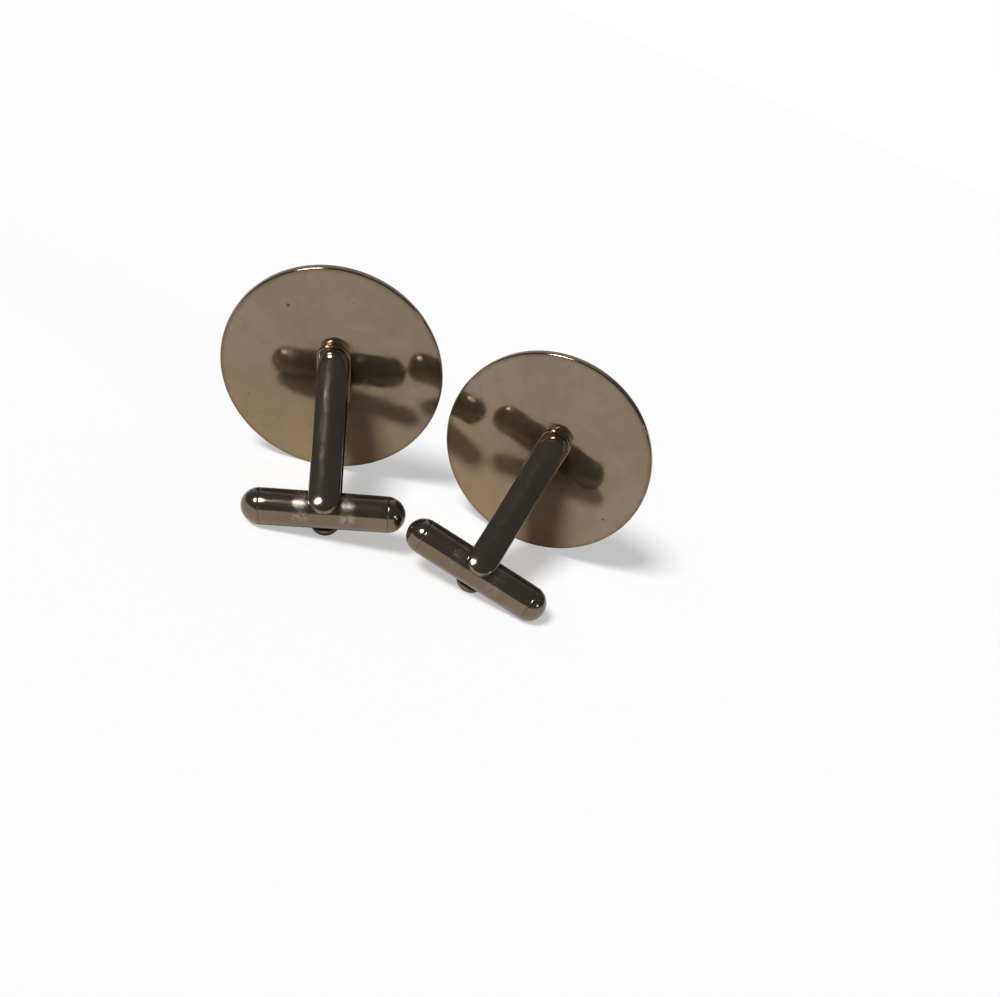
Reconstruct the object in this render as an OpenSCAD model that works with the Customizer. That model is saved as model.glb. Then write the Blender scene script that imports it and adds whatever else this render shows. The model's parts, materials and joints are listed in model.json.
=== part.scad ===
// A pair of round cufflinks with swivel bullet backs, as they lie on a table.
// Each stands on the rim of its disc, the end of its lower arm and one end of its toggle.
// A disc's own frame has its back face at z = 0, with +z towards the post and +y up the disc.

/* [Disc] */
// Diameter of the face disc
disc_d = 25; // [20:0.5:30]
// Thickness of the disc over its rim
disc_t = 1; // [0.8:0.1:1.6]
// Thickness of the plate's floor behind the inlay
floor_t = 0.45; // [0.3:0.05:0.6]
// Width of the raised rim round the face
rim_w = 0.8; // [0.5:0.1:2]
// Radius of the rim's rounded edges
edge_r = 0.22; // [0.1:0.02:0.3]
// How far the inlay lies below the front of the rim
inlay_drop = 0.1; // [0.05:0.05:0.2]
// Bevel round the edge of the inlay
inlay_bevel = 0.15; // [0.05:0.05:0.25]

/* [Post] */
// Distance from the disc to the pivot along the post
post_reach = 17.5; // [15:0.1:22]
// Slant of the post away from square to the disc, in degrees
post_slant = 25.4; // [0:0.1:30]
// Width of the post's arms, seen from the front
arm_w = 3.3; // [2.6:0.1:3.6]
// Thickness of each arm at its middle
arm_t = 1.2; // [0.7:0.05:1.4]
// Solid metal between the disc and the foot of the slot
bridge_t = 1.3; // [1:0.1:2]
// Radius of the rounded shoulders where the arms meet the disc
shoulder_r = 0.9; // [0.4:0.1:1.4]

/* [Toggle] */
// Diameter of the toggle
toggle_d = 4; // [3.4:0.1:4.6]
// Length of the toggle over its rounded ends
toggle_l = 17.5; // [15:0.5:19]
// Wall of the toggle's tube
tube_wall = 0.6; // [0.4:0.05:0.8]
// Length of a cap's spigot inside the tube
spigot_l = 1.2; // [0.8:0.1:2]
// Diameter of the pivot pin
pin_d = 1.2; // [1:0.05:1.5]
// Length of the pin's squared middle
pin_square_l = 1.5; // [1:0.1:1.9]
// Thickness of the detent spring
spring_t = 0.18; // [0.12:0.02:0.24]
// Width of the detent spring
spring_w = 1.4; // [1:0.1:1.5]
// Gap between each end of the detent spring and the cap beyond it
spring_end_gap = 1.05; // [0.3:0.05:2]

/* [Fits] */
// Gap on each side between the toggle and an arm
side_gap = 0.1; // [0.05:0.01:0.15]
// Radial clearance of the toggle on its pin
pin_gap = 0.04; // [0.02:0.01:0.08]
// Radial clearance of pieces that are pressed or glued in
seat_gap = 0.01; // [0.01:0.01:0.03]

/* [Stance] */
// Turn of the left cufflink about the vertical, in degrees
left_heading = 25.7; // [0:0.1:30]
// Turn of the right cufflink about the vertical, in degrees
right_heading = 3.7; // [-20:0.1:10]
// Least gap between the two cufflinks, between their toggles or between their rims
pair_gap = 0.7; // [0.6:0.1:4]
// Direction of the line from the left disc to the right disc, in degrees
row_angle = 10.2; // [-10:0.2:20]
// Shift of the pair along x that brings its middle to the origin
middle_x = -0.41; // [-10:0.01:10]
// Shift of the pair along y that brings its middle to the origin
middle_y = 7.45; // [-10:0.01:15]

/* [Hidden] */
$fn = 96;

gilt = [0.62, 0.54, 0.42];
gilt_face = [0.72, 0.6, 0.4];
dark_gilt = [0.45, 0.4, 0.34];
steel = [0.6, 0.6, 0.62];

disc_r = disc_d / 2;
toggle_r = toggle_d / 2;
pin_r = pin_d / 2;
bore_r = toggle_r - tube_wall;
arm_gap = toggle_r + side_gap;
post_r = arm_gap + arm_t;
nose_r = arm_w / 2;
cap_reach = toggle_l / 2 - toggle_r;
slot_z = bridge_t + arm_gap;
pin_flat = pin_r / sqrt(2);
overrun = disc_t;

// The detent spring is an arc that bears on the pin and rises to the tube's wall at its ends
spring_l = 2 * (cap_reach - spigot_l - spring_end_gap);
spring_foot = pin_flat + seat_gap;
spring_top = sqrt(pow(bore_r, 2) - pow(spring_w / 2, 2)) - pin_gap;
spring_rise = spring_top - spring_foot - spring_t;
spring_r = (pow(spring_l / 2, 2) + pow(spring_rise, 2)) / (2 * spring_rise);

// Pivot in the disc's frame, and the share of its half length by which a resting toggle tips
pivot = post_reach * [0, -sin(post_slant), cos(post_slant)];
tip_share = (post_r - toggle_r) / cap_reach;

// Lean of a disc on its rim, with the domed end of the lower arm on the table
function lean_at(roll) =
    let (up = disc_r + pivot.y * cos(roll))
    acos(post_r / norm([up, pivot.z])) - atan2(pivot.z, up);

// Roll of the disc that lets one end of the toggle down to the table, found by halving
function roll_between(low, high, steps) =
    let (mid = (low + high) / 2)
    steps == 0 ? mid :
    sin(mid) * cos(lean_at(mid)) < tip_share ? roll_between(mid, high, steps - 1) :
    roll_between(low, mid, steps - 1);

widest_roll = 60;
halvings = 40;
roll = roll_between(0, widest_roll, halvings);
lean = lean_at(roll);

// Plan position, from its disc's centre, of a point given in the disc's frame
function plan_of(p, turn, heading) =
    let (x = p.x * cos(turn) - p.y * sin(turn), y = p.x * sin(turn) + p.y * cos(turn))
    let (depth = -y * sin(lean) - p.z * cos(lean))
    [x * cos(heading) - depth * sin(heading), x * sin(heading) + depth * cos(heading)];

// The cufflinks lie as close along the row as the gap between their rims and toggles lets them
row = [cos(row_angle), sin(row_angle)];
left_rim = plan_of([disc_r, 0, 0], 0, left_heading);
right_rim = plan_of([-disc_r, 0, 0], 0, right_heading);
left_inner_end = plan_of(pivot + [cap_reach, 0, 0], roll, left_heading);
right_inner_end = plan_of(pivot - [cap_reach, 0, 0], -roll, right_heading);
rim_spacing = pair_gap + (left_rim - right_rim) * row;
toggle_spacing = pair_gap + toggle_d + (left_inner_end - right_inner_end) * row;
spacing = max(rim_spacing, toggle_spacing);
middle = [middle_x, middle_y];
left_spot = middle - row * spacing / 2;
right_spot = middle + row * spacing / 2;

module stand(spot, heading, turn) {
    translate([spot.x, spot.y, disc_r * cos(lean)])
        rotate([90 + lean, 0, heading])
            rotate([0, 0, turn])
                children();
}

module left_stand() {
    stand(left_spot, left_heading, roll) children();
}

module right_stand() {
    stand(right_spot, right_heading, -roll) children();
}

module along_post() {
    rotate([post_slant, 0, 0]) children();
}

module at_pivot() {
    along_post() translate([0, 0, post_reach]) children();
}

module cross_rod(r, half) {
    rotate([90, 0, 0]) cylinder(r = r, h = 2 * half, center = true);
}

// A stamped cup: flat polished back, low rim round the inlay at the front
module back_plate() {
    color(gilt)
    rotate_extrude()
    difference() {
        union() {
            translate([0, -disc_t]) square([disc_r - edge_r, disc_t]);
            translate([0, edge_r - disc_t]) square([disc_r, disc_t - 2 * edge_r]);
            translate([disc_r - edge_r, -edge_r]) circle(r = edge_r);
            translate([disc_r - edge_r, edge_r - disc_t]) circle(r = edge_r);
        }
        translate([-overrun, -disc_t - overrun])
            square([disc_r - rim_w + overrun, disc_t - floor_t + overrun]);
        translate([-disc_r, -disc_t - overrun]) square([disc_r, disc_t + 2 * overrun]);
    }
}

// A flat plate glued into the cup from the front
module face_inlay() {
    inlay_r = disc_r - rim_w - seat_gap;
    front = inlay_drop - disc_t;
    color(gilt_face)
    rotate_extrude()
    polygon([
        [0, -floor_t], [inlay_r, -floor_t], [inlay_r, front + inlay_bevel],
        [inlay_r - inlay_bevel, front], [0, front]
    ]);
}

// What rounds off the upper or the lower corner of the post's foot, where it meets the disc
module shoulder_cut(side) {
    from_axis = side * (post_r + side_gap - shoulder_r);
    centre = [(from_axis - shoulder_r * sin(post_slant)) / cos(post_slant), shoulder_r];
    reach = side * 2 * shoulder_r;
    rotate([90, 0, 90])
    linear_extrude(height = arm_w + overrun, center = true)
    difference() {
        polygon([
            centre, centre + reach * [cos(post_slant), sin(post_slant)],
            [centre.x + reach, -overrun], [centre.x, -overrun]
        ]);
        translate(centre) circle(r = shoulder_r);
    }
}

// Two arms turned from one round bar, with domed ends, brazed to the disc on a slant
module post_frame() {
    color(dark_gilt)
    difference() {
        intersection() {
            along_post() union() {
                translate([0, 0, -post_r]) cylinder(r = post_r, h = post_reach + post_r);
                translate([0, 0, post_reach]) sphere(r = post_r);
            }
            along_post() union() {
                translate([-nose_r, -post_r, -post_r])
                    cube([arm_w, 2 * post_r, post_reach + post_r]);
                translate([0, 0, post_reach]) cross_rod(nose_r, post_r);
            }
            translate([-disc_r, -disc_r, 0]) cube([disc_d, disc_d, 2 * post_reach]);
        }
        for (side = [-1, 1]) shoulder_cut(side);
        along_post() {
            translate([-post_r, -arm_gap, slot_z]) cube([2 * post_r, 2 * arm_gap, 2 * post_reach]);
            translate([0, 0, slot_z])
                rotate([0, 90, 0]) cylinder(r = arm_gap, h = 2 * post_r, center = true);
        }
        at_pivot() cross_rod(pin_r + seat_gap, post_r + overrun);
    }
}

// The pin is ground flush with the arms, and its squared middle lies inside the toggle
module pivot_pin() {
    color(steel)
    at_pivot()
    intersection() {
        union() {
            for (side = [-1, 1])
                translate([0, side * (post_r + pin_square_l / 2) / 2, 0])
                    cross_rod(pin_r, (post_r - pin_square_l / 2) / 2);
            cube([2 * pin_flat, pin_square_l, 2 * pin_flat], center = true);
        }
        sphere(r = post_r);
    }
}

module toggle_barrel() {
    color(dark_gilt)
    at_pivot()
    difference() {
        rotate([0, 90, 0]) cylinder(r = toggle_r, h = 2 * cap_reach, center = true);
        rotate([0, 90, 0]) cylinder(r = bore_r, h = toggle_l, center = true);
        cross_rod(pin_r + pin_gap, toggle_d);
    }
}

module toggle_cap(side) {
    color(dark_gilt)
    at_pivot()
    rotate([0, side * 90, 0]) {
        translate([0, 0, cap_reach])
            rotate_extrude()
            intersection() {
                circle(r = toggle_r);
                square(toggle_d);
            }
        translate([0, 0, cap_reach - spigot_l])
            cylinder(r = bore_r - seat_gap, h = spigot_l);
    }
}

// A leaf bowed inside the tube, pressing on the squared middle of the pin
module detent_spring() {
    color(steel)
    at_pivot()
    translate([0, spring_w / 2, spring_foot + spring_r])
    rotate([90, 0, 0])
    linear_extrude(height = spring_w)
    intersection() {
        difference() {
            circle(r = spring_r, $fn = 4 * $fn);
            circle(r = spring_r - spring_t, $fn = 4 * $fn);
        }
        translate([-spring_l / 2, -spring_r]) square([spring_l, spring_r / 2]);
    }
}

module left_back_plate() { left_stand() back_plate(); }
module left_face_inlay() { left_stand() face_inlay(); }
module left_post_frame() { left_stand() post_frame(); }
module left_pivot_pin() { left_stand() pivot_pin(); }
module left_toggle_barrel() { left_stand() toggle_barrel(); }
module left_toggle_outer_cap() { left_stand() toggle_cap(-1); }
module left_toggle_inner_cap() { left_stand() toggle_cap(1); }
module left_detent_spring() { left_stand() detent_spring(); }
module right_back_plate() { right_stand() back_plate(); }
module right_face_inlay() { right_stand() face_inlay(); }
module right_post_frame() { right_stand() post_frame(); }
module right_pivot_pin() { right_stand() pivot_pin(); }
module right_toggle_barrel() { right_stand() toggle_barrel(); }
module right_toggle_outer_cap() { right_stand() toggle_cap(1); }
module right_toggle_inner_cap() { right_stand() toggle_cap(-1); }
module right_detent_spring() { right_stand() detent_spring(); }

left_back_plate();
left_face_inlay();
left_post_frame();
left_pivot_pin();
left_toggle_barrel();
left_toggle_outer_cap();
left_toggle_inner_cap();
left_detent_spring();
right_back_plate();
right_face_inlay();
right_post_frame();
right_pivot_pin();
right_toggle_barrel();
right_toggle_outer_cap();
right_toggle_inner_cap();
right_detent_spring();
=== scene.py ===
import json
import math

import bmesh
import bpy
from bpy.props import FloatProperty, FloatVectorProperty, PointerProperty
from mathutils import Matrix, Vector


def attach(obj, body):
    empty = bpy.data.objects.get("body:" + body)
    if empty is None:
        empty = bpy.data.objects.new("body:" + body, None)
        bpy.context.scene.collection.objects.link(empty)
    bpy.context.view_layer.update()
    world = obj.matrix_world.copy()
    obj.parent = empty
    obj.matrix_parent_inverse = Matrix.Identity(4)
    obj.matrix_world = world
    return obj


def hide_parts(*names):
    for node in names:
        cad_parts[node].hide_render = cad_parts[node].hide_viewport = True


bl_info = {
    "name": "Round cufflinks",
    "version": (1, 0, 0),
    "blender": (4, 5, 0),
    "location": "3D View > Sidebar > Cufflinks",
    "description": "Builds a pair of round cufflinks with swivel backs round their packed model",
    "category": "Add Mesh",
}

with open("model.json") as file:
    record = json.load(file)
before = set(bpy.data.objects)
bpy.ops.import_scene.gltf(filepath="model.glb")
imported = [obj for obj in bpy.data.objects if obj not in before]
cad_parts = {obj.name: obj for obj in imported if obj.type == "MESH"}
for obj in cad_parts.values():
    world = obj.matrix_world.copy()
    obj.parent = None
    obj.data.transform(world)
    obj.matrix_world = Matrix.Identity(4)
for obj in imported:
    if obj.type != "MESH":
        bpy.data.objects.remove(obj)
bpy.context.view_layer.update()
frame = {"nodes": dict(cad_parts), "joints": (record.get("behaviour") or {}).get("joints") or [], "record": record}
MM = 0.001
SIDES = ("left", "right")
UP = Vector((0, 0, 1))
X_AXIS = Vector((1, 0, 0))
Y_AXIS = Vector((0, 1, 0))
WHITE = (1, 1, 1, 1)
DISC_STEPS = 144    # facets once round a disc
TUBE_STEPS = 96     # facets once round a toggle
FIT = 0.00001       # gap round a piece that sits in another


# Where each cufflink stands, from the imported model

class Stand:
    """One cufflink's own axes: z out of the back of its disc towards the post, y up the disc."""

    def __init__(self, side):
        mount = next(m for m in frame["record"]["mounts"] if m["name"] == side + "_face_front")
        joint = next(j for j in frame["joints"] if j["name"] == side + "_toggle_pivot")
        plate = bpy.context.scene.cufflink_disc
        z = -Vector(mount["axis"]).normalized()
        x = Vector(joint["axis"]).cross(z).normalized()
        y = z.cross(x)
        self.side = side
        self.outward = -1 if side == "left" else 1
        self.centre = Vector(mount["pos_m"]) + z * (plate.thickness - plate.inlay_drop)
        self.pivot = Vector(joint["pos_m"])
        self.reach = (self.pivot - self.centre).length
        self.disc = self.axes(x, y, z, self.centre)
        along = (self.pivot - self.centre).normalized()
        self.post = self.axes(x, along.cross(x), along, self.centre)
        self.toggle = self.axes(x, along.cross(x), along, self.pivot)
        self.slant = math.acos(max(-1.0, min(1.0, along.dot(z))))

    @staticmethod
    def axes(x, y, z, origin):
        turned = Matrix((x, y, z)).transposed().to_4x4()
        return Matrix.Translation(origin) @ turned


# Drawing and finishing meshes

def stroke(bm, start, steps):
    """Draws a chain of edges from start.

    A step is a point, or (centre, angle, count, axis) for an arc of count edges.
    """
    chain = [bm.verts.new(start)]
    for step in steps:
        if isinstance(step, Vector):
            made = bmesh.ops.extrude_vert_indiv(bm, verts=[chain[-1]])["verts"]
            made[0].co = step
            chain += made
        else:
            centre, angle, count, axis = step
            made = bmesh.ops.spin(
                bm, geom=[chain[-1]], cent=centre, axis=axis, angle=angle, steps=count,
            )["geom_last"]
            chain += [v for v in made if isinstance(v, bmesh.types.BMVert)]
    return chain


def merge(bm):
    bmesh.ops.remove_doubles(bm, verts=bm.verts[:], dist=1e-7)


def lathe(bm, axis, steps):
    """Turns everything drawn so far once round an axis through the origin."""
    bmesh.ops.spin(
        bm, geom=bm.verts[:] + bm.edges[:], cent=(0, 0, 0), axis=axis,
        angle=math.tau, steps=steps, use_merge=True,
    )
    merge(bm)


def face_outwards(bm):
    bmesh.ops.recalc_face_normals(bm, faces=bm.faces[:])
    if bm.calc_volume(signed=True) < 0:
        bmesh.ops.reverse_faces(bm, faces=bm.faces[:])


def cut(bm, point, normal):
    """Splits every face along a plane. Points within 3 microns count as on it."""
    bmesh.ops.bisect_plane(
        bm, geom=bm.verts[:] + bm.edges[:] + bm.faces[:], dist=3e-6,
        plane_co=point, plane_no=normal,
    )


def finish_piece(bm, name, placed, body, material, replaces=()):
    """Makes the mesh an object in its place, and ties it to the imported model."""
    face_outwards(bm)
    bmesh.ops.transform(bm, matrix=placed, verts=bm.verts[:])
    mesh = bpy.data.meshes.new(name)
    bm.to_mesh(mesh)
    bm.free()
    mesh.shade_smooth()
    piece = bpy.data.objects.new(name, mesh)
    bpy.context.scene.collection.objects.link(piece)
    weighted = piece.modifiers.new("even shading", "WEIGHTED_NORMAL")
    weighted.keep_sharp = True
    weighted.weight = 70
    mesh.materials.append(material)
    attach(piece, body)
    if replaces:
        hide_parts(*replaces)
    return piece


# Shader maths

class Sock:
    """A socket in a node tree. Expressions on it add Math nodes."""

    def __init__(self, tree, socket):
        self.tree = tree
        self.socket = socket

    def maths(self, operation, *values, **settings):
        return self.tree.node(
            "ShaderNodeMath", dict(operation=operation, **settings), *values)

    def __add__(self, other):
        return self.maths("ADD", self, other)

    def __radd__(self, other):
        return self.maths("ADD", other, self)

    def __sub__(self, other):
        return self.maths("SUBTRACT", self, other)

    def __rsub__(self, other):
        return self.maths("SUBTRACT", other, self)

    def __mul__(self, other):
        return self.maths("MULTIPLY", self, other)

    def __rmul__(self, other):
        return self.maths("MULTIPLY", other, self)

    def __truediv__(self, other):
        return self.maths("DIVIDE", self, other)

    def __rtruediv__(self, other):
        return self.maths("DIVIDE", other, self)

    def __pow__(self, other):
        return self.maths("POWER", self, other)

    def __abs__(self):
        return self.maths("ABSOLUTE", self)

    def ease(self, low, high):
        """0 at low, 1 at high and a smooth step between them."""
        return self.tree.node(
            "ShaderNodeMapRange", dict(interpolation_type="SMOOTHSTEP"),
            self, low, high, 0.0, 1.0)


class Tree:
    """A node tree that is written as Python."""

    def __init__(self, nodes_owner):
        nodes_owner.use_nodes = True
        self.tree = nodes_owner.node_tree
        self.tree.nodes.clear()

    def node(self, kind, settings=None, *values, out=0, **named):
        made = self.tree.nodes.new(kind)
        for key, value in (settings or {}).items():
            setattr(made, key, value)
        for key, value in [*enumerate(values), *named.items()]:
            if isinstance(key, str):
                key = key.replace("_", " ")
            self.feed(made.inputs[key], value)
        if not made.outputs:
            return None
        outputs = [s for s in made.outputs if s.enabled]
        return Sock(self, made.outputs[out] if isinstance(out, str) else outputs[out])

    def feed(self, target, value):
        if isinstance(value, Sock):
            self.tree.links.new(value.socket, target)
        elif value is not None:
            target.default_value = value

    def blend(self, share, first, second):
        """A colour between two, at a share from 0 to 1."""
        mix = self.tree.nodes.new("ShaderNodeMix")
        mix.data_type = "RGBA"
        self.feed(mix.inputs["Factor"], share)
        self.feed(mix.inputs["A"], first)
        self.feed(mix.inputs["B"], second)
        colours = [s for s in mix.outputs if s.type == "RGBA"]
        return Sock(self, colours[0])

    def place(self, axes):
        """The point's coordinates in a piece's own axes, in millimetres."""
        inverse = axes.inverted()
        where = self.node("ShaderNodeTexCoord", out="Object")
        return self.node(
            "ShaderNodeMapping", dict(vector_type="POINT"), where,
            inverse.to_translation() / MM, inverse.to_euler(), (1 / MM,) * 3)

    def noise(self, at, scale, detail=3.0, roughness=0.55, distortion=0.0):
        return self.node(
            "ShaderNodeTexNoise", dict(noise_dimensions="3D"), Vector=at, Scale=scale,
            Detail=detail, Roughness=roughness, Distortion=distortion)

    def stretched(self, at, scale):
        return self.node(
            "ShaderNodeMapping", dict(vector_type="POINT"), at, (0, 0, 0), (0, 0, 0), scale)

    def split(self, vector):
        xyz = self.tree.nodes.new("ShaderNodeSeparateXYZ")
        self.feed(xyz.inputs[0], vector)
        return [Sock(self, s) for s in xyz.outputs]

    def bump(self, height, depth, normal=None):
        """Relief whose height of 1 stands for a depth in millimetres."""
        return self.node(
            "ShaderNodeBump", None, Strength=1.0, Distance=depth * MM,
            Height=height, Normal=normal)


def srgb(red, green, blue):
    """The linear colour of three 0 to 255 values."""
    def linear(value):
        value /= 255
        return value / 12.92 if value <= 0.04045 else ((value + 0.055) / 1.055) ** 2.4
    return (linear(red), linear(green), linear(blue), 1.0)


def new_material(name):
    material = bpy.data.materials.new(name)
    return material, Tree(material)


def surface(tree, colour, roughness, normal, metallic=1.0):
    shader = tree.node(
        "ShaderNodeBsdfPrincipled", None, Base_Color=colour, Metallic=metallic,
        Roughness=roughness, Normal=normal)
    tree.node("ShaderNodeOutputMaterial", None, shader)


def wear(tree, at):
    """Fine scratches in two directions, from 0 to 1."""
    one = tree.noise(tree.stretched(at, (0.25, 7.0, 1.0)), 1.2, 2.0)
    other = tree.noise(tree.stretched(at, (6.0, 0.3, 1.0)), 1.1, 2.0)
    return one.ease(0.66, 0.72) + other.ease(0.68, 0.74)


# Colours of the metals, as 0 to 255 values

OLIVE = (122, 112, 90)
ROSE = (144, 125, 107)
# Painted reflection of the warm floor, laid toward the lower left of each disc's back
REFLECTED_FLOOR_OCHRE = (150, 127, 95)
HAZE = 0.86    # metallic share of the backs; the rest is the dull film on old gilt
BRIGHT = 0.94  # metallic share of the posts and toggles

# Dark specks in the plating: x, y and radius in millimetres, seen on the back of each disc
SPECKS = {
    "left": (
        (-4.9, 7.9, 0.2), (2.1, 8.9, 0.11), (-7.6, 5.6, 0.08), (5.4, 9.3, 0.09),
        (-9.6, -3.4, 0.12)),
    "right": ((9.8, -2.9, 0.16), (1.2, 10.4, 0.1), (-6.4, 4.8, 0.08), (7.1, 5.2, 0.09)),
}
SPECK_BROWN = (52, 34, 24)

RING_TURN = 34.0    # radians of the lathe rings' wave in a millimetre

# Share of wear and painted highlight on the post's crown and beside the arms, and the lighter colour painted on
# the rubbed metal as highlight
WEAR_AND_SHEEN = {"left": 1.0, "right": 0.35}
RUBBED_SHEEN = (168, 156, 142)

WORN_LIGHT = (124, 108, 90)
FACE_LIGHT = (190, 160, 112)
STEEL_DARK = (120, 116, 110)


def polished_back(stand):
    """The disc's back: polished gilt under a thin film, with painted shade round the post, a painted dark
    reflection along the rim and a painted floor reflection toward the lower left.
    """
    looks = bpy.context.scene.cufflink_finish
    disc = bpy.context.scene.cufflink_disc
    tarnish_and_shade = tuple(looks.tarnish_and_shade) + (1.0,)
    material, tree = new_material(stand.side + "_polished_back")
    at = tree.place(stand.disc)
    x, y, _ = tree.split(at)
    out = (x * x + y * y) ** 0.5
    clouds = tree.noise(at, 0.15, 4.0, 0.6, 0.6)
    patches = tree.noise(at, 0.42, 4.0, 0.6, 0.8)
    spots = tree.noise(at, 0.9, 3.0)
    grains = tree.noise(at, 3.4, 2.0)
    colour = tree.blend(clouds.ease(0.36, 0.64), srgb(*OLIVE), srgb(*ROSE))
    colour = tree.blend(0.45, colour, tuple(looks.gilt) + (1.0,))
    # Painted reflection of the warm floor: ochre, stronger toward the disc's lower left
    low = (patches * 5.0 - y * 0.85 - x * 0.35).ease(3.2, 11.0)
    colour = tree.blend(low * 0.75, colour, srgb(*REFLECTED_FLOOR_OCHRE))
    smudges = patches.ease(0.5, 0.66)
    colour = tree.blend(smudges * 0.3, colour, srgb(*OLIVE))
    # Painted shade and dark reflection round the post's foot, in the tarnish colour
    shade_round_post = 1 - (out + 2.5 * spots).ease(3.0, 6.4)
    colour = tree.blend(shade_round_post * 0.4, colour, tarnish_and_shade)
    radius = disc.diameter / MM / 2
    # Painted dark reflection: a dark line along the rim's edge
    rim_dark_reflection = (out + spots * 0.5).ease(radius - 0.35, radius + 0.25)
    colour = tree.blend(rim_dark_reflection * 0.6, colour, tarnish_and_shade)
    dots = grains.ease(0.73, 0.78) * 0.5
    for speck_x, speck_y, size in SPECKS[stand.side]:
        away = ((x - speck_x) * (x - speck_x) + (y - speck_y) * (y - speck_y)) ** 0.5
        dots = dots + (1 - (away + spots * 0.1).ease(size * 0.6, size * 1.5))
    dots = dots.maths("MINIMUM", dots, 1.0)
    colour = tree.blend(dots * 0.8, colour, srgb(*SPECK_BROWN))
    rough = 0.06 + clouds.ease(0.4, 0.7) * 0.03 + smudges * 0.04 + shade_round_post * 0.02 + dots * 0.2
    waves = tree.noise(at, 0.24, 1.0, 0.4)
    scratches = wear(tree, at)
    normal = tree.bump(scratches, -0.0007, normal=tree.bump(waves, 0.035))
    surface(tree, colour, rough, normal, HAZE)
    return material


def turned_face(stand):
    """The face: satin gilt with fine rings from the lathe."""
    looks = bpy.context.scene.cufflink_finish
    material, tree = new_material(stand.side + "_turned_face")
    at = tree.place(stand.disc)
    x, y, _ = tree.split(at)
    out = (x * x + y * y) ** 0.5
    phase = out * RING_TURN
    rings = phase.maths("SINE", phase)
    clouds = tree.noise(at, 0.3, 4.0)
    colour = tree.blend(clouds.ease(0.3, 0.75), tuple(looks.face) + (1.0,), srgb(*FACE_LIGHT))
    rough = 0.3 + clouds * 0.12
    normal = tree.bump(rings, 0.002)
    surface(tree, colour, rough, normal)
    return material


def worn_gilt(stand, axes, name, grain, rub_and_sheen=None, wear_of=(0.0, 0.0)):
    """Gilt of the small pieces, with soft streaks along them.

    rub_and_sheen gives the dented share of it, which is also painted lighter as highlight, and wear_of the
    roughness and relief there.
    """
    looks = bpy.context.scene.cufflink_finish
    material, tree = new_material(stand.side + "_" + name)
    at = tree.place(axes)
    clouds = tree.noise(at, 0.35, 4.0)
    streaks = tree.noise(tree.stretched(at, grain), 1.0, 4.0, 0.6)
    pits = tree.noise(at, 3.2, 2.0)
    colour = tree.blend(clouds.ease(0.3, 0.7), tuple(looks.worn) + (1.0,), srgb(*WORN_LIGHT))
    dull = streaks.ease(0.55, 0.72)
    colour = tree.blend(dull * 0.3, colour, tuple(looks.tarnish_and_shade) + (1.0,))
    rough = 0.12 + dull * 0.1 + pits.ease(0.6, 0.75) * 0.06
    normal = tree.bump(streaks, 0.006)
    if rub_and_sheen:
        roughened, relief = wear_of
        share = rub_and_sheen(tree, *tree.split(at)) * WEAR_AND_SHEEN[stand.side]
        dents_and_sheen = tree.noise(at, 1.8, 3.0, 0.6, 0.5)
        # Painted highlight: the dents are laid in a lighter colour, over the real pits and roughness
        colour = tree.blend(share * dents_and_sheen.ease(0.4, 0.6) * 0.6, colour, srgb(*RUBBED_SHEEN))
        rough = rough + share * roughened
        normal = tree.bump(dents_and_sheen * share, relief, normal=normal)
    surface(tree, colour, rough, normal, BRIGHT)
    return material


def crown_pits_and_sheen(tree, x, y, z):
    """A pitted streak a little to the left of the arm's crown, painted lighter as the lamp's highlight along it.
    """
    wander = tree.noise(tree.node("ShaderNodeCombineXYZ", None, z, 0.0, 0.0), 0.5, 2.0)
    off = abs(x + 0.75 - wander * 0.8)
    along = z.ease(1.5, 4.0) * (1 - z.ease(14.5, 17.0))
    return (1 - off.ease(0.08, 0.42)) * along * y.ease(2.0, 3.0)


def barrel_dents_and_glints(tree, x, y, z):
    """Dents in the tube beside both arms, painted lighter as glints."""
    off = abs(abs(x) - 2.5)
    return (1 - off.ease(0.3, 1.1)) * y.ease(0.2, 1.2)


def plain_steel(name, colour, roughness):
    material, tree = new_material(name)
    at = tree.place(Matrix.Identity(4))
    drawn = tree.noise(at, 1.5, 5.0, 0.65)
    surface(
        tree, tree.blend(drawn, colour, srgb(*STEEL_DARK)), roughness + drawn * 0.15,
        tree.bump(drawn, 0.003))
    return material


# Sizes and colours that a user would change

class CufflinkDisc(bpy.types.PropertyGroup):
    """Sizes of the discs."""
    diameter: FloatProperty(
        name="Diameter", description="Diameter of the disc", default=0.025,
        unit="LENGTH", subtype="DISTANCE")
    thickness: FloatProperty(
        name="Thickness", description="Thickness over the rim", default=0.001,
        unit="LENGTH", subtype="DISTANCE")
    floor: FloatProperty(
        name="Floor", description="Thickness behind the inlay", default=0.00045,
        unit="LENGTH", subtype="DISTANCE")
    rim: FloatProperty(
        name="Rim width", description="Width of the raised rim round the face", default=0.0008,
        unit="LENGTH", subtype="DISTANCE")
    edge: FloatProperty(
        name="Edge radius", description="Radius of the rim's rounded edges", default=0.00022,
        unit="LENGTH", subtype="DISTANCE")
    inlay_drop: FloatProperty(
        name="Inlay drop", description="How far the inlay lies below the rim", default=0.0001,
        unit="LENGTH", subtype="DISTANCE")


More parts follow.
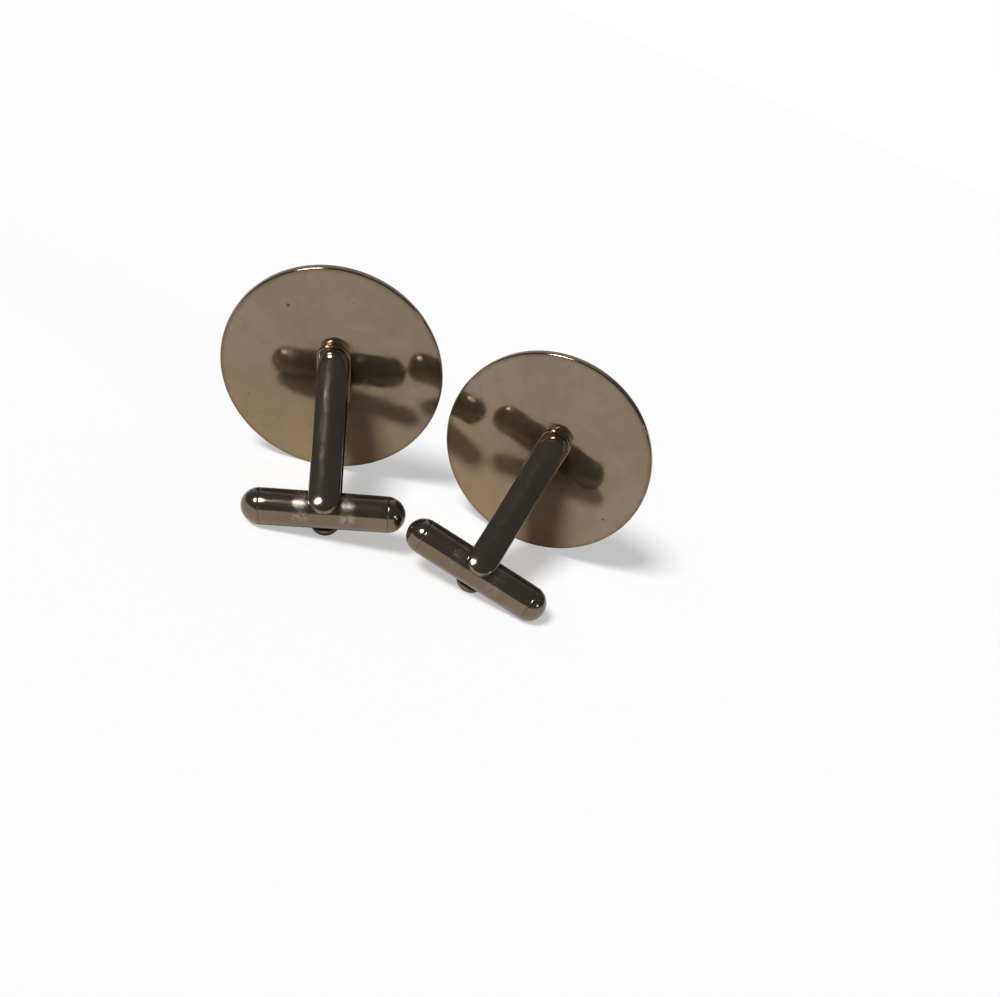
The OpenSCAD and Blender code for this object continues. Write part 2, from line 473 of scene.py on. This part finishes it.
class CufflinkPost(bpy.types.PropertyGroup):
    """Sizes of the posts."""
    bar: FloatProperty(
        name="Bar radius", description="Radius of the bar that both arms are cut from",
        default=0.0033, unit="LENGTH", subtype="DISTANCE")
    width: FloatProperty(
        name="Arm width", description="Width of the arms from the front", default=0.0033,
        unit="LENGTH", subtype="DISTANCE")
    gap: FloatProperty(
        name="Slot", description="Half the slot between the arms", default=0.0021,
        unit="LENGTH", subtype="DISTANCE")
    slot_start: FloatProperty(
        name="Slot start", description="Height of the middle of the slot's round foot",
        default=0.0034, unit="LENGTH", subtype="DISTANCE")
    softness: FloatProperty(
        name="Edge softness", description="Radius of the arms' worn edges", default=0.00017,
        unit="LENGTH", subtype="DISTANCE")
    pin_cover: FloatProperty(
        name="Pin cover", description="Plating over the ground ends of the pin", default=0.000008,
        unit="LENGTH", subtype="DISTANCE")
    heel_rise: FloatProperty(
        name="Heel rise", description="How far the heel stands above the arm's crown",
        default=0.0009, unit="LENGTH", subtype="DISTANCE")
    heel_bend: FloatProperty(
        name="Heel bend", description="Radius of the heel's bend",
        default=0.0012, unit="LENGTH", subtype="DISTANCE")
    heel_dome: FloatProperty(
        name="Heel dome", description="How far the heel falls off towards both sides",
        default=0.00035, unit="LENGTH", subtype="DISTANCE")
    heel_corner: FloatProperty(
        name="Heel corner", description="Radius of the heel's upright corners",
        default=0.0012, unit="LENGTH", subtype="DISTANCE")
    braze: FloatProperty(
        name="Braze", description="Width of the bead of braze round the heel",
        default=0.00028, unit="LENGTH", subtype="DISTANCE")


class CufflinkToggle(bpy.types.PropertyGroup):
    """Sizes of the swivel bars."""
    diameter: FloatProperty(
        name="Diameter", description="Diameter of the bar", default=0.004,
        unit="LENGTH", subtype="DISTANCE")
    length: FloatProperty(
        name="Length", description="Length over the rounded ends", default=0.0175,
        unit="LENGTH", subtype="DISTANCE")
    wall: FloatProperty(
        name="Wall", description="Wall of the tube", default=0.0006,
        unit="LENGTH", subtype="DISTANCE")
    seam: FloatProperty(
        name="Seam", description="Depth of the crease between tube and cap", default=0.00003,
        unit="LENGTH", subtype="DISTANCE")


class CufflinkFinish(bpy.types.PropertyGroup):
    """Colours of the metals."""
    gilt: FloatVectorProperty(
        name="Gilt", description="Polished gilt of the backs", subtype="COLOR", size=3,
        default=srgb(137, 121, 102)[:3])
    worn: FloatVectorProperty(
        name="Worn gilt", description="Gilt of posts and toggles", subtype="COLOR", size=3,
        default=srgb(116, 102, 84)[:3])
    face: FloatVectorProperty(
        name="Face", description="Satin gilt of the faces", subtype="COLOR", size=3,
        default=srgb(178, 148, 104)[:3])
    # Also the colour of the painted shade round each post's foot and of the painted dark line along each disc's
    # rim
    tarnish_and_shade: FloatVectorProperty(
        name="Tarnish", description="Brown tarnish in corners", subtype="COLOR", size=3,
        default=srgb(96, 70, 50)[:3])


class CufflinkStage(bpy.types.PropertyGroup):
    """Light round the pair."""
    lamp: FloatProperty(
        name="Main lamp", description="Strength of the round lamp in front", default=3.3)
    side_lamp: FloatProperty(
        name="Side lamp", description="Strength of the weaker lamp at the right", default=0.15)
    ambient: FloatProperty(
        name="Room light", description="Even light from all round", default=0.2)
    card: FloatProperty(
        name="Card", description="How bright the soft card round the main lamp looks in the metal",
        default=13.0)
    ceiling: FloatProperty(
        name="Ceiling", description="How bright the room above the floor looks in the metal",
        default=0.13)


# The pieces

def build_plate(stand):
    disc = bpy.context.scene.cufflink_disc
    radius, edge = disc.diameter / 2, disc.edge
    inner = radius - disc.rim
    quarter = math.pi / 2
    lip = 0.00012
    bm = bmesh.new()
    stroke(bm, Vector((0, 0, 0)), [
        *[Vector((radius * k / 12, 0, 0)) for k in range(1, 11)],
        Vector((radius - edge, 0, 0)),
        (Vector((radius - edge, 0, -edge)), quarter, 6, Y_AXIS),
        Vector((radius, 0, edge - disc.thickness)),
        (Vector((radius - edge, 0, edge - disc.thickness)), quarter, 6, Y_AXIS),
        Vector((inner + lip, 0, -disc.thickness)),
        Vector((inner, 0, lip - disc.thickness)),
        Vector((inner, 0, -disc.floor)),
        Vector((0, 0, -disc.floor)),
    ])
    lathe(bm, UP, DISC_STEPS)
    finish_piece(
        bm, stand.side + "_plate", stand.disc, stand.side + "_cufflink",
        polished_back(stand), [stand.side + "_back_plate"])


def build_face(stand):
    disc = bpy.context.scene.cufflink_disc
    radius = disc.diameter / 2 - disc.rim - FIT
    front = disc.inlay_drop - disc.thickness
    bevel = 0.00015
    bm = bmesh.new()
    stroke(bm, Vector((0, 0, front)), [
        *[Vector((radius * k / 12, 0, front)) for k in range(1, 12)],
        Vector((radius - bevel, 0, front)),
        Vector((radius - bevel * 0.3, 0, front + bevel * 0.3)),
        Vector((radius, 0, front + bevel)),
        Vector((radius, 0, -disc.floor)),
        Vector((0, 0, -disc.floor)),
    ])
    lathe(bm, UP, DISC_STEPS)
    finish_piece(
        bm, stand.side + "_face", stand.disc, stand.side + "_cufflink",
        turned_face(stand), [stand.side + "_face_inlay"])


def build_post(stand):
    """Both arms and their foot are one solid.

    A side outline is drawn out to the arms' width, cut into strips and then crowned.
    """
    post = bpy.context.scene.cufflink_post
    bar, gap, half = post.bar, post.gap, post.width / 2
    lean_out, lean_up = math.cos(stand.slant), math.sin(stand.slant)
    slope = lean_up / lean_out
    reach, tip = stand.reach, math.sqrt(bar ** 2 - half ** 2)
    sunk = 0.00018       # how deep the foot stands in the disc
    corner = 0.00014     # chamfer at the ends of the slot
    foot_chamfer = 0.0006
    foot_bulge_out, foot_bulge_up = 0.00018, 0.0002
    bm = bmesh.new()

    def point(y, z):
        return Vector((-half, y, z))

    def mitre(y):
        return -y * slope - sunk

    def toward(angle):
        return Vector((0, math.cos(angle), math.sin(angle)))

    # The heel is a dome that overhangs its foot and runs down into the arm's crown.
    # tuck: how far the dome turns under, fall: its slope towards the arm, run: the arm's slope.
    bend, bend_start = post.heel_bend, 0.0002
    tuck, fall, run = (math.radians(a) for a in (65, 16.5, 6.5))
    bend_centre = point(bar + post.heel_rise - bend, bend_start)
    neck_top = bend_centre + bend * toward(-stand.slant - tuck)
    neck_height = neck_top.y * lean_up + neck_top.z * lean_out
    neck_foot = neck_top - (neck_height + sunk) * Vector((0, lean_up, lean_out))
    dip = 0.0008         # radius of the hollow between dome and arm
    dip_centre = bend_centre + (bend + dip) * toward(fall)
    dip_end = dip_centre - dip * toward(run)
    sweep = (dip_end.y - bar) / (1 - math.cos(run))
    nose_turns = [math.radians(a) for a in (11.25, 22.5, 33.75, 45, 56.25, 67.5, 76, 82, 86)]
    nose_steps = [half * math.sin(a) for a in nose_turns]
    drawn = stroke(bm, point(gap, reach), [
        point(gap, post.slot_start),
        (point(0, post.slot_start), -math.pi, 24, X_AXIS),
        point(-gap, reach),
        point(-gap, reach + half - corner),
        point(-gap - corner, reach + half),
        point(-tip, reach + half),
        *[point(-math.sqrt(bar ** 2 - z ** 2), reach + z) for z in reversed(nose_steps)],
        point(-bar, reach),
        point(-bar, mitre(-bar) + foot_chamfer),
        point(-bar + foot_bulge_out, mitre(-bar) + foot_bulge_up),
        point(-bar + foot_chamfer, mitre(-bar + foot_chamfer)),
        neck_foot,
        neck_foot.lerp(neck_top, 0.5), neck_top,
        (bend_centre, stand.slant + tuck + fall, 20, X_AXIS),
        (dip_centre, run - fall, 6, X_AXIS),
        (dip_end + sweep * toward(run), -run, 12, X_AXIS),
        point(bar, reach),
        *[point(math.sqrt(bar ** 2 - z ** 2), reach + z) for z in nose_steps],
        point(tip, reach + half),
        point(gap + corner, reach + half),
        point(gap, reach + half - corner),
        point(gap, reach),
    ])
    crown_heights = [
        v.co.z for v in drawn if v.co.y > tip - corner and v.co.z > dip_end.z - 1e-6]
    straight_start = dip_end.z + sweep * math.sin(run)
    crown_heights += [straight_start + (reach - straight_start) * k / 5 for k in range(1, 5)]
    merge(bm)
    face = bmesh.ops.contextual_create(bm, geom=bm.edges[:])["faces"][0]
    drawn = bmesh.ops.extrude_face_region(bm, geom=[face])
    tops = [v for v in drawn["geom"] if isinstance(v, bmesh.types.BMVert)]
    bmesh.ops.translate(bm, verts=tops, vec=(2 * half, 0, 0))

    # Strips along the arms, finer towards their worn edges, and across them at the nose and heel
    layers = 14
    soft = post.softness
    inner = half - soft
    for k in range(layers + 1):
        cut(bm, (-inner + 2 * inner * k / layers, 0, 0), X_AXIS)
    for angle in (25, 50, 72):
        for way in (-1, 1):
            cut(bm, (way * (inner + soft * math.sin(math.radians(angle))), 0, 0), X_AXIS)
    for z in crown_heights:
        cut(bm, (0, 0, z), UP)
    for y in (-gap - corner, gap + corner, (gap + tip) / 2, -(gap + tip) / 2):
        cut(bm, (0, y, 0), Y_AXIS)
    up_the_disc = Vector((0, lean_out, -lean_up))
    round_corner = post.heel_corner
    corner_start = bend_centre.dot(up_the_disc) + bend - round_corner
    for k in range(9):
        up = corner_start + round_corner * math.sin(math.radians(k * 11))
        cut(bm, up_the_disc * up, up_the_disc)

    # The nose and the heel's corners are rounded, and the crown follows the bar's radius.
    blunt = half * 1.0005    # a little over half, so that the nose keeps a narrow end
    dome_fade = 0.003        # height at which the heel has turned into the arm
    for v in bm.verts:
        above = max(0.0, v.co.z - reach)
        squeeze = math.sqrt(max(0.0, 1 - (above / blunt) ** 2))
        beyond = min(round_corner, max(0.0, v.co.dot(up_the_disc) - corner_start))
        kept = half - round_corner + math.sqrt(round_corner ** 2 - beyond ** 2)
        worn = soft - math.sqrt(max(0.0, soft ** 2 - max(0.0, abs(v.co.x) - inner) ** 2))
        v.co.x *= squeeze * kept / half
        height = abs(v.co.y)
        share = max(0.0, min(1.0, (height - gap) / (bar - gap)))
        flat = math.sqrt(bar ** 2 - min(above, tip) ** 2)
        crown = math.sqrt(max(0.0, bar ** 2 - min(above, tip) ** 2 - v.co.x ** 2))
        v.co.y = math.copysign(height - (flat - crown + worn - post.pin_cover) * share, v.co.y)
        if v.co.y > 0:
            near = max(0.0, 1 - max(0.0, v.co.z) / dome_fade) ** 2
            v.co.y -= post.heel_dome * share * near * (v.co.x / half) ** 2
    merge(bm)

    gilt = worn_gilt(
        stand, stand.post, "post_gilt", (4.0, 4.0, 0.22), crown_pits_and_sheen, (0.03, 0.006))
    finish_piece(
        bm, stand.side + "_post", stand.post, stand.side + "_cufflink", gilt,
        [stand.side + "_post_frame"])

    # The bead of braze follows the foot's outline on the disc.
    top = neck_foot.dot(up_the_disc) + post.braze
    bottom = -bar / lean_out - sunk * slope
    spread = round_corner + post.braze
    bm = bmesh.new()
    bmesh.ops.create_circle(bm, cap_ends=True, segments=64, radius=spread)
    for v in bm.verts:
        v.co.x += math.copysign(half - round_corner, v.co.x)
        v.co.y += top - round_corner if v.co.y > 0 else bottom + round_corner
    sole = bm.faces[:]
    drawn = bmesh.ops.extrude_face_region(bm, geom=sole)["geom"]
    raised = [v for v in drawn if isinstance(v, bmesh.types.BMVert)]
    bmesh.ops.translate(bm, verts=raised, vec=(0, 0, post.braze))
    ridge = [e for e in drawn if isinstance(e, bmesh.types.BMEdge)]
    bmesh.ops.bevel(
        bm, geom=ridge, offset=post.braze * 0.8, offset_type="OFFSET", segments=5,
        profile=0.5, affect="EDGES", material=-1, clamp_overlap=True)
    bmesh.ops.translate(bm, verts=bm.verts[:], vec=(0, 0, -FIT))
    finish_piece(
        bm, stand.side + "_braze", stand.disc, stand.side + "_cufflink", gilt)


def build_tube(stand):
    toggle = bpy.context.scene.cufflink_toggle
    radius = toggle.diameter / 2
    half = toggle.length / 2 - radius
    bore = radius - toggle.wall
    seam = toggle.seam
    bm = bmesh.new()
    stroke(bm, Vector((-half, 0, bore)), [
        Vector((-half, 0, radius - seam)),
        Vector((-half + seam, 0, radius - seam * 0.3)),
        Vector((-half + seam * 2.4, 0, radius)),
        *[Vector((half * k / 8, 0, radius)) for k in range(-7, 8)],
        Vector((half - seam * 2.4, 0, radius)),
        Vector((half - seam, 0, radius - seam * 0.3)),
        Vector((half, 0, radius - seam)),
        Vector((half, 0, bore)),
        Vector((-half, 0, bore)),
    ])
    merge(bm)
    lathe(bm, X_AXIS, TUBE_STEPS)
    finish_piece(
        bm, stand.side + "_tube", stand.toggle, stand.side + "_toggle",
        worn_gilt(stand, stand.toggle, "tube_gilt", (0.3, 3.0, 3.0), barrel_dents_and_glints, (0.16, 0.012)),
        [stand.side + "_toggle_barrel"])


def build_cap(stand, name, way):
    toggle = bpy.context.scene.cufflink_toggle
    radius = toggle.diameter / 2
    half = toggle.length / 2 - radius
    seam = toggle.seam
    spigot = radius - toggle.wall - FIT
    spigot_start = half - 0.0012
    bm = bmesh.new()
    stroke(bm, Vector((spigot_start, 0, 0)), [
        Vector((spigot_start, 0, spigot)),
        Vector((half, 0, spigot)),
        Vector((half, 0, radius - seam)),
        *[Vector((half + radius * math.sin(a), 0, radius * math.cos(a)))
          for a in [math.radians(3 + 87 * k / 16) for k in range(16)]],
        Vector((half + radius, 0, 0)),
    ])
    lathe(bm, X_AXIS, TUBE_STEPS)
    if way < 0:
        bmesh.ops.rotate(
            bm, verts=bm.verts[:], cent=(0, 0, 0), matrix=Matrix.Rotation(math.pi, 3, "Y"))
    finish_piece(
        bm, stand.side + "_" + name, stand.toggle, stand.side + "_toggle",
        worn_gilt(stand, stand.toggle, name + "_gilt", (0.5, 2.0, 2.0)),
        [stand.side + "_toggle_" + name])


class CUFFLINK_OT_plates(bpy.types.Operator):
    """Turn the stamped cups with their polished backs"""
    bl_idname = "cufflink.plates"
    bl_label = "Back plates"

    def execute(self, context):
        for side in SIDES:
            build_plate(Stand(side))
        return {"FINISHED"}


class CUFFLINK_OT_faces(bpy.types.Operator):
    """Turn the plates that fill the faces"""
    bl_idname = "cufflink.faces"
    bl_label = "Face inlays"

    def execute(self, context):
        for side in SIDES:
            build_face(Stand(side))
        return {"FINISHED"}


class CUFFLINK_OT_posts(bpy.types.Operator):
    """Shape the posts with their two arms"""
    bl_idname = "cufflink.posts"
    bl_label = "Posts"

    def execute(self, context):
        for side in SIDES:
            build_post(Stand(side))
        return {"FINISHED"}


class CUFFLINK_OT_toggles(bpy.types.Operator):
    """Turn the tubes and their domed caps"""
    bl_idname = "cufflink.toggles"
    bl_label = "Toggles"

    def execute(self, context):
        for side in SIDES:
            stand = Stand(side)
            build_tube(stand)
            build_cap(stand, "outer_cap", stand.outward)
            build_cap(stand, "inner_cap", -stand.outward)
        return {"FINISHED"}


class CUFFLINK_OT_steel(bpy.types.Operator):
    """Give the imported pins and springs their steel"""
    bl_idname = "cufflink.steel"
    bl_label = "Pins and springs"

    def execute(self, context):
        pin = plain_steel("pin_steel", srgb(158, 154, 148), 0.25)
        spring = plain_steel("spring_steel", srgb(128, 126, 124), 0.32)
        for side in SIDES:
            for node, material in (("_pivot_pin", pin), ("_detent_spring", spring)):
                piece = frame["nodes"][side + node]
                for slot in piece.material_slots:
                    slot.material = material
        return {"FINISHED"}


class CUFFLINK_OT_stage(bpy.types.Operator):
    """Set the floor, the light and the camera"""
    bl_idname = "cufflink.stage"
    bl_label = "Stage"

    def execute(self, context):
        light_stage(context.scene)
        place_camera(context.scene)
        return {"FINISHED"}


def seen_directly(tree):
    """1 for what the camera, a mirror or glass sees, and 0 for light that falls on a surface."""
    path = tree.tree.nodes.new("ShaderNodeLightPath")
    camera, glossy, through = (
        Sock(tree, path.outputs[name])
        for name in ("Is Camera Ray", "Is Glossy Ray", "Is Transmission Ray"))
    return camera.maths("MAXIMUM", camera.maths("MAXIMUM", camera, glossy), through), glossy


# Directions of the lamps, their widths in radians, and the cosines between which the soft card
# round the main one ends
MAIN_LAMP, MAIN_WIDTH = (-0.3, -0.56, 0.77), 0.3
SIDE_LAMP, SIDE_WIDTH = (0.9, -0.28, 0.3), 0.15
CARD = (0.979, 0.99)

FLOOR_RADIUS = 3.0
FLOOR_SEEN, FLOOR_UNSEEN = 0.55, 0.85    # how pale the floor is to the camera and to the pair
FLOOR_GLOW, FLOOR_MIRRORED = 0.42, 0.06  # its own light, to the camera and in the metal
ROOM_TINT = (0.8, 0.96, 1.3, 1)          # of the dark room that the metal mirrors


def light_stage(scene):
    stage = scene.cufflink_stage
    bm = bmesh.new()
    bmesh.ops.create_circle(bm, cap_ends=True, segments=96, radius=FLOOR_RADIUS)
    mesh = bpy.data.meshes.new("floor")
    bm.to_mesh(mesh)
    bm.free()
    floor = bpy.data.objects.new("floor", mesh)
    scene.collection.objects.link(floor)
    material, tree = new_material("pale_floor")
    seen, glossy = seen_directly(tree)
    direct = seen - glossy
    grey = tree.blend(direct, (FLOOR_UNSEEN,) * 3 + (1,), (FLOOR_SEEN,) * 3 + (1,))
    matt = tree.node("ShaderNodeBsdfDiffuse", None, Color=grey)
    lift = tree.node(
        "ShaderNodeEmission", None, Color=WHITE,
        Strength=direct * FLOOR_GLOW + glossy * FLOOR_MIRRORED)
    tree.node(
        "ShaderNodeOutputMaterial", None, tree.node("ShaderNodeAddShader", None, matt, lift))
    mesh.materials.append(material)

    for name, toward, energy, width in (
        ("main_lamp", MAIN_LAMP, stage.lamp, MAIN_WIDTH),
        ("side_lamp", SIDE_LAMP, stage.side_lamp, SIDE_WIDTH),
    ):
        lamp = bpy.data.lights.new(name, "SUN")
        lamp.energy, lamp.angle = energy, width
        holder = bpy.data.objects.new(name, lamp)
        holder.rotation_mode = "QUATERNION"
        holder.rotation_quaternion = Vector(toward).to_track_quat("Z", "Y")
        scene.collection.objects.link(holder)

    # Only the metal sees the dark room above the floor, and the paler wall behind at the left.
    scene.world = scene.world or bpy.data.worlds.new("studio")
    tree = Tree(scene.world)
    seen, glossy = seen_directly(tree)
    direction = tree.node("ShaderNodeTexCoord", out="Generated")
    x, y, z = tree.split(direction)
    above_floor = z.ease(0.0, 0.06)
    behind = y.ease(0.1, 0.7) * (0.4 - x).ease(0.0, 0.6)
    mirrored = glossy * above_floor * (1 - behind * 0.6)
    toward_lamp = tree.node(
        "ShaderNodeVectorMath", dict(operation="DOT_PRODUCT"), direction,
        Vector(MAIN_LAMP).normalized(), out="Value")
    softbox = toward_lamp.ease(*CARD) * glossy * stage.card
    level = 1 - mirrored * (1 - stage.ceiling) + softbox
    strength = seen * level + (1 - seen) * stage.ambient
    room = tree.blend(mirrored, WHITE, ROOM_TINT)
    background = tree.node("ShaderNodeBackground", None, Color=room, Strength=strength)
    tree.node("ShaderNodeOutputWorld", None, background)
    scene.view_settings.view_transform = "Standard"


# Fitted to the outlines in the photograph: place in millimetres, then yaw, pitch and roll
CAMERA_AT = (27.77, -92.57, 56.14)
CAMERA_TURN = (-3.51, 32.97, -23.71)
CAMERA_LENS = 33.63
CAMERA_SHIFT = (-0.05, 0.14)


def place_camera(scene):
    yaw, pitch, roll = (math.radians(a) for a in CAMERA_TURN)
    camera = bpy.data.cameras.new("camera")
    camera.lens, camera.sensor_width = CAMERA_LENS, 36.0
    camera.shift_x, camera.shift_y = CAMERA_SHIFT
    camera.clip_start, camera.clip_end = 0.001, 20.0
    holder = bpy.data.objects.new("camera", camera)
    scene.collection.objects.link(holder)
    level = Vector((math.sin(yaw), math.cos(yaw), 0))
    forward = level * math.cos(pitch) - UP * math.sin(pitch)
    up = level * math.sin(pitch) + UP * math.cos(pitch)
    right = forward.cross(up)
    across = math.cos(roll) * right - math.sin(roll) * up
    upward = math.sin(roll) * right + math.cos(roll) * up
    turned = Matrix((across, upward, -forward)).transposed().to_4x4()
    holder.matrix_world = Matrix.Translation(Vector(CAMERA_AT) * MM) @ turned
    scene.camera = holder


class CUFFLINK_PT_panel(bpy.types.Panel):
    """Lists the pieces and their sizes"""
    bl_idname = "CUFFLINK_PT_panel"
    bl_label = "Cufflinks"
    bl_space_type = "VIEW_3D"
    bl_region_type = "UI"
    bl_category = "Cufflinks"

    def draw(self, context):
        for name in GROUPS:
            box = self.layout.box()
            group = getattr(context.scene, name)
            for key in type(group).__annotations__:
                box.prop(group, key)
        for step in STEPS:
            self.layout.operator(step.bl_idname)


GROUPS = {
    "cufflink_disc": CufflinkDisc,
    "cufflink_post": CufflinkPost,
    "cufflink_toggle": CufflinkToggle,
    "cufflink_finish": CufflinkFinish,
    "cufflink_stage": CufflinkStage,
}
STEPS = (
    CUFFLINK_OT_stage, CUFFLINK_OT_plates, CUFFLINK_OT_faces, CUFFLINK_OT_posts,
    CUFFLINK_OT_toggles, CUFFLINK_OT_steel,
)


def register():
    for made in (*GROUPS.values(), *STEPS, CUFFLINK_PT_panel):
        bpy.utils.register_class(made)
    for name, group in GROUPS.items():
        setattr(bpy.types.Scene, name, PointerProperty(type=group))


def unregister():
    for name in GROUPS:
        delattr(bpy.types.Scene, name)
    for made in reversed((*GROUPS.values(), *STEPS, CUFFLINK_PT_panel)):
        bpy.utils.unregister_class(made)


def main():
    register()
    for step in STEPS:
        getattr(bpy.ops.cufflink, step.bl_idname.split(".")[1])()


if __name__ == "__main__":
    main()
